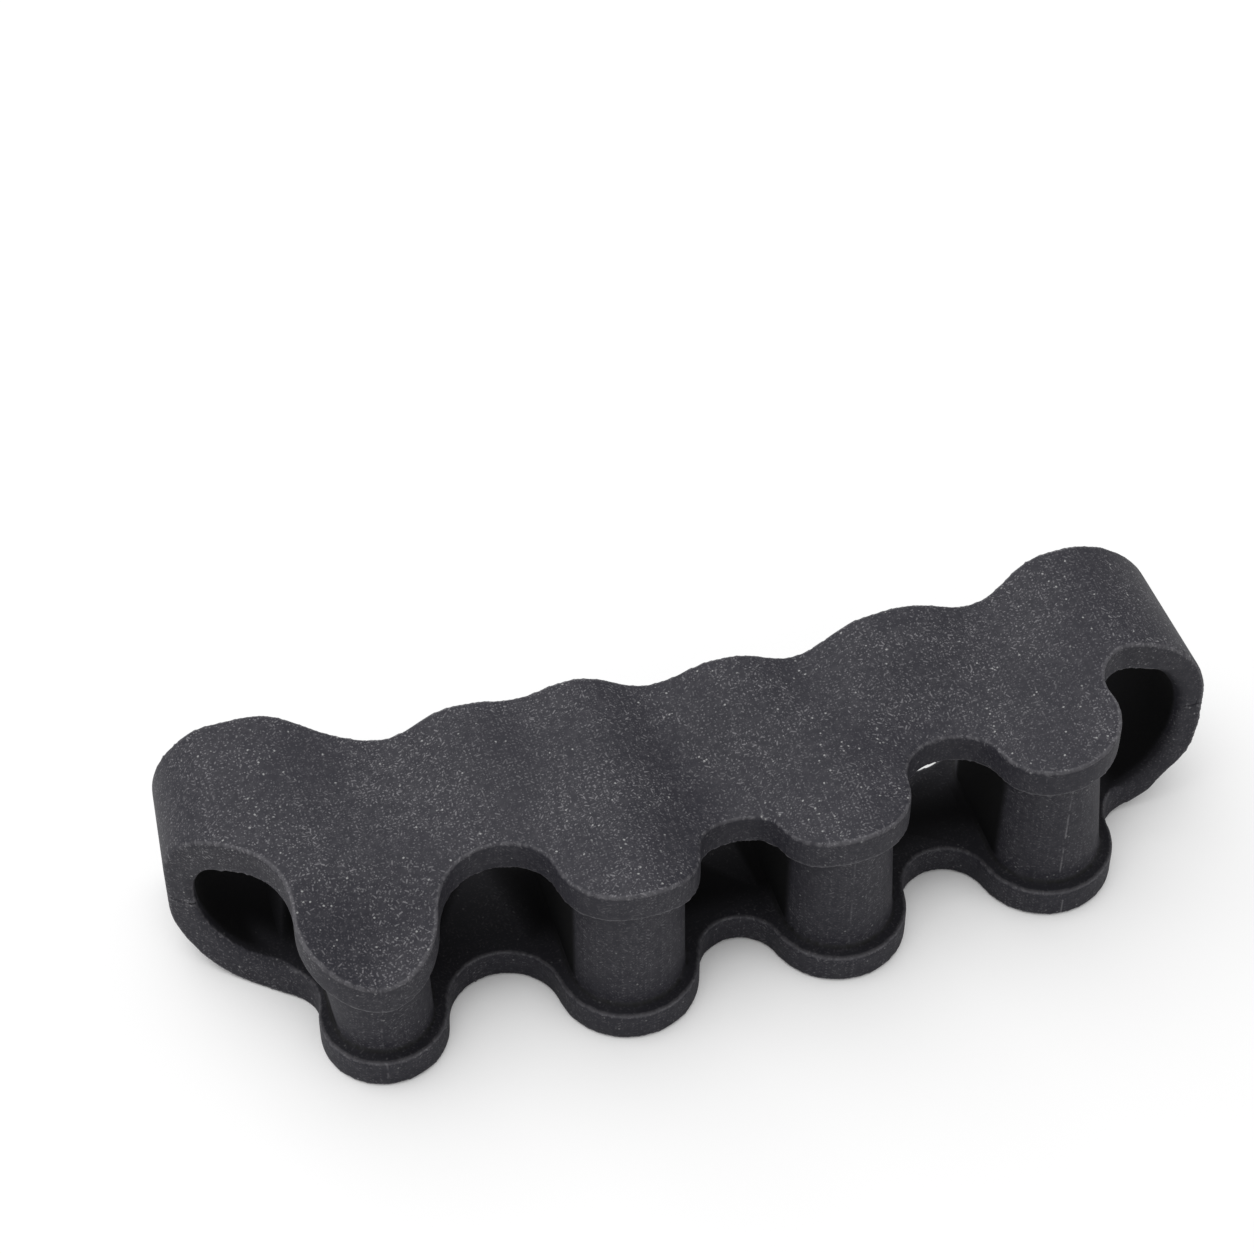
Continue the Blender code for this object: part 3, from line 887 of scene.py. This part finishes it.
mesh = body.data
count = len(mesh.vertices)
edge_ends = np.zeros(len(mesh.edges) * 2, dtype=np.int64)
mesh.edges.foreach_get("vertices", edge_ends)
starts, stops = edge_ends.reshape(-1, 2).T
places = np.zeros(count * 3)
mesh.vertices.foreach_get("co", places)
places = places.reshape(-1, 3)
normals = np.zeros(count * 3)
mesh.vertices.foreach_get("normal", normals)
normals = normals.reshape(-1, 3)
neighbours = np.bincount(starts, minlength=count) + np.bincount(stops, minlength=count)
steps = places[stops] - places[starts]
bends = np.sum((normals[stops] - normals[starts]) * steps, axis=1) / np.sum(steps * steps, axis=1)
curvature = (np.bincount(starts, bends, count) + np.bincount(stops, bends, count)) / neighbours
around = np.bincount(starts, curvature[stops], count) + np.bincount(stops, curvature[starts], count)
curvature = (curvature + around / neighbours) / 2.0
rim = mesh.attributes.new("rim", "FLOAT", "POINT")
rim.data.foreach_set("value", np.clip(curvature / FULL_CURVATURE, -1.0, 1.0).astype(np.float32))

edge_tree = outline_tree(sheet_outline, top_outline)


def openness(place, normal):
    """Painted-shade map: 1 on the open top, less round the edges and the end walls, 0 deep between the
    sheets.
    """
    top = ease((place.z - top_height(place.x, place.y) + OUTER_PART * SHEET) / TOP_FADE)
    # Faces on top count as less open as they tilt away from straight up, so tilted faces get painted shade.
    top *= EDGE_OPENNESS + (1.0 - EDGE_OPENNESS) * ease(normal.z)
    near, far = EDGE_REACH
    edge = EDGE_OPENNESS * (1.0 - ease((plan_distance(edge_tree, place) - near) / (far - near)))
    roof = top_height(place.x, place.y) - SHEET
    if OUTER_PART * SHEET < place.z < roof + INNER_PART * SHEET:
        edge *= 1.0 - FACE_SHADE * ease(abs(normal.z))
    off_sheets = ease(min(place.z - SHEET, roof - place.z) / OFF_SHEET_FADE)
    edge *= 1.0 - off_sheets * (1.0 - ease(abs(normal.y) / FRONT_FACING))
    edge *= 1.0 - MOUTH_SHADE * mouth_share(place)
    side = -1.0 if place.x < 0.0 else 1.0
    from_end = min(place.x - LEFT_END, RIGHT_END - place.x)
    end = END_OPENNESS * ease(normal.x * side / END_FACING) * (from_end < RIGHT_OUTER_RADII[1])
    below = EDGE_OPENNESS * (place.z < SHEET / 2.0 and normal.z < UNDER_FACING)
    return max(top, edge, end, below)


open_values = [openness(vertex.co, vertex.normal) for vertex in mesh.vertices]
mesh.attributes.new("open", "FLOAT", "POINT").data.foreach_set("value", open_values)
spread = np.percentile(curvature, (0.5, 5, 50, 90, 97, 99.5))
print("curvature per mm, from hollow to sharp:", spread.round(2))

# %% [markdown]
# The finished form is turned from millimetres into metres, with its place in its mesh, and shaded
# smooth.

# %% To metres
bpy.ops.object.select_all(action="DESELECT")
body.select_set(True)
bpy.context.view_layer.objects.active = body
bpy.ops.transform.resize(value=(MM, MM, MM), center_override=(0.0, 0.0, 0.0))
bpy.ops.object.transform_apply(location=True, rotation=True, scale=True)
bpy.ops.object.shade_smooth()
body.name = "toe_separator_moulding"
print("moulding in mm:", [round(side / MM, 2) for side in body.dimensions])

# %% [markdown]
# The material is a soft charcoal elastomer with a fine mineral filler. Close up, the skin is covered
# with short pale flecks like tiny threads, about half a millimetre apart, and a few brighter specks.
# Each fleck is a short capsule in its own random cell, because a plain noise would clump. They are
# painted dense on the open top and rare between the sheets, as part of the painted shade there; the
# finish also paints a highlight on the rims and shade in the creases. Each kind of fleck is three
# numbers: cells per metre, half length and radius in metres. Each seam gives a pillar, a shift in
# millimetres and a strength, and it is the faint pale line down the front of that pillar.

# %% Speckled charcoal rubber
CHARCOAL = (0.0140, 0.0134, 0.0200, 1.0)
THREAD = (0.1450, 0.1410, 0.1520, 1.0)
BRIGHT = (0.34, 0.34, 0.34, 1.0)
# Near-black colour of the painted shade in the creases and between the sheets.
PAINTED_SHADE_COLOUR = (0.0045, 0.0045, 0.0045, 1.0)
SEAMS = ((1, -1.2, 0.35), (3, -0.6, 0.2), (4, -0.5, 0.6))
SEAM_WIDTH = 0.00014
SEAM_FRONT = -0.0115
SEAM_FADE = 0.001
LONG_THREADS = (2200.0, 0.00022, 0.00008)
SHORT_THREADS = (3400.0, 0.00012, 0.00006)
SPECKS = (1700.0, 0.00003, 0.00010)

rubber = Finish("speckled_charcoal_rubber")
place = rubber.add("ShaderNodeTexCoord", output="Object")
curved = rubber.add("ShaderNodeAttribute", {"attribute_name": "rim"}, output="Fac")
openly = rubber.add("ShaderNodeAttribute", {"attribute_name": "open"}, output="Fac")


def noise(scale, detail=2.0, roughness=0.5):
    inputs = {"Vector": place, "Scale": scale, "Detail": detail, "Roughness": roughness}
    return rubber.add("ShaderNodeTexNoise", inputs=inputs)


def capsules(scale, half_length, radius):
    """Short random threads, one in each cell, with a random amount per cell."""
    centre = rubber.add("ShaderNodeTexVoronoi", inputs={"Vector": place, "Scale": scale}, output="Position")
    chance = centre.other("Color")
    lean = chance.vector("SUBTRACT", (0.5, 0.5, 0.5)).vector("NORMALIZE")
    offset = place.vector("SUBTRACT", centre)
    along = offset.vector("DOT_PRODUCT", lean, output="Value").math("MAXIMUM", -half_length)
    along = along.math("MINIMUM", half_length)
    away = offset.vector("SUBTRACT", lean.vector("MULTIPLY", along)).vector("LENGTH", output="Value")
    amount = chance.vector("DOT_PRODUCT", (3.1, 5.3, 7.7), output="Value").math("FRACT")
    return away.rise(radius * 1.35, radius * 0.55), amount


def blend(amount, low, high):
    """Colour between two colours."""
    settings = {"data_type": "RGBA", "clamp_factor": True}
    return rubber.add("ShaderNodeMix", settings, {0: amount, 6: low, 7: high}, output=2)


long_threads, long_chance = capsules(*LONG_THREADS)
short_threads, short_chance = capsules(*SHORT_THREADS)
threads = long_threads * (0.35 + long_chance * 0.65)
threads = threads.math("MAXIMUM", short_threads * (0.1 + short_chance * 0.45))
# Flecks and specks are thinned where the open attribute is low, as part of the painted shade.
threads = threads * (0.12 + openly * 0.88)
specks, speck_chance = capsules(*SPECKS)
specks = specks * speck_chance.rise(0.86, 0.93) * (0.1 + openly * 0.9)
patches = noise(130.0, 3.0)
threads = threads * (0.55 + patches.rise(0.35, 0.65) * 0.6)
# Painted highlight along the convex rims, broken up by a fine noise.
rims = curved.rise(0.20, 0.50) * (0.2 + noise(1800.0, 1.0) * 0.9)
# Painted shade where the open attribute is low: between the sheets and deep in the hollows.
painted_shade = openly.rise(0.36, 0.0)
mottle = noise(1300.0, 2.0) - 0.5
across = place.vector("DOT_PRODUCT", (1.0, 0.0, 0.0), output="Value")
along = place.vector("DOT_PRODUCT", (0.0, 1.0, 0.0), output="Value")
forward = along.rise(SEAM_FRONT + SEAM_FADE, SEAM_FRONT)
facing = rubber.add("ShaderNodeTexCoord", output="Normal")
upright = facing.vector("DOT_PRODUCT", (0.0, -1.0, 0.0), output="Value").rise(0.55, 0.85)
seam = 0.0
for pillar_number, shift, strength in SEAMS:
    away = (across - (ROW[pillar_number] + shift) * MM).math("ABSOLUTE")
    seam = away.rise(SEAM_WIDTH, SEAM_WIDTH * 0.3) * strength + seam
seam = seam * forward * upright * noise(700.0, 2.0).rise(0.42, 0.62)
# Fleck, seam and random tone, with the painted rim highlight and a little painted shade.
speckle_and_painted_light = 0.03 + threads + rims * 0.6 + seam + (patches - 0.5) * 0.15 + mottle * 0.30 - painted_shade * 0.12
colour = blend(speckle_and_painted_light, CHARCOAL, THREAD)
colour = blend(specks * 0.8, colour, BRIGHT)
# Painted shade in the hollow creases and between the sheets.
colour = blend((curved.rise(-0.10, -0.5) * 0.9).math("MAXIMUM", painted_shade * 0.75), colour, PAINTED_SHADE_COLOUR)
grain = noise(3200.0, 3.0, 0.6)
height = grain * 0.6 + threads + specks + seam * 3.0
bump = rubber.add("ShaderNodeBump", inputs={"Strength": 0.5, "Distance": 0.00005, "Height": height})
skin = rubber.add("ShaderNodeBsdfPrincipled", inputs={
    "Base Color": colour, "Roughness": 0.66 + painted_shade * 0.3, "Specular IOR Level": 0.34, "Normal": bump})
# A dark diffuse shader is mixed in as painted shade between the sheets, with rougher skin there.
dark = rubber.add("ShaderNodeBsdfDiffuse", inputs={"Color": PAINTED_SHADE_COLOUR, "Normal": bump})
shader = rubber.add("ShaderNodeMixShader", inputs={0: painted_shade * 0.65, 1: skin, 2: dark})
body.data.materials.clear()
body.data.materials.append(rubber.surface(shader))
print("finish:", rubber.material.name)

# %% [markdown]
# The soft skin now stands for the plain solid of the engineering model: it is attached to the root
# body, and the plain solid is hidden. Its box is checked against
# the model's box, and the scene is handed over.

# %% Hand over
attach(body, "root")
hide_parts(PIECE)
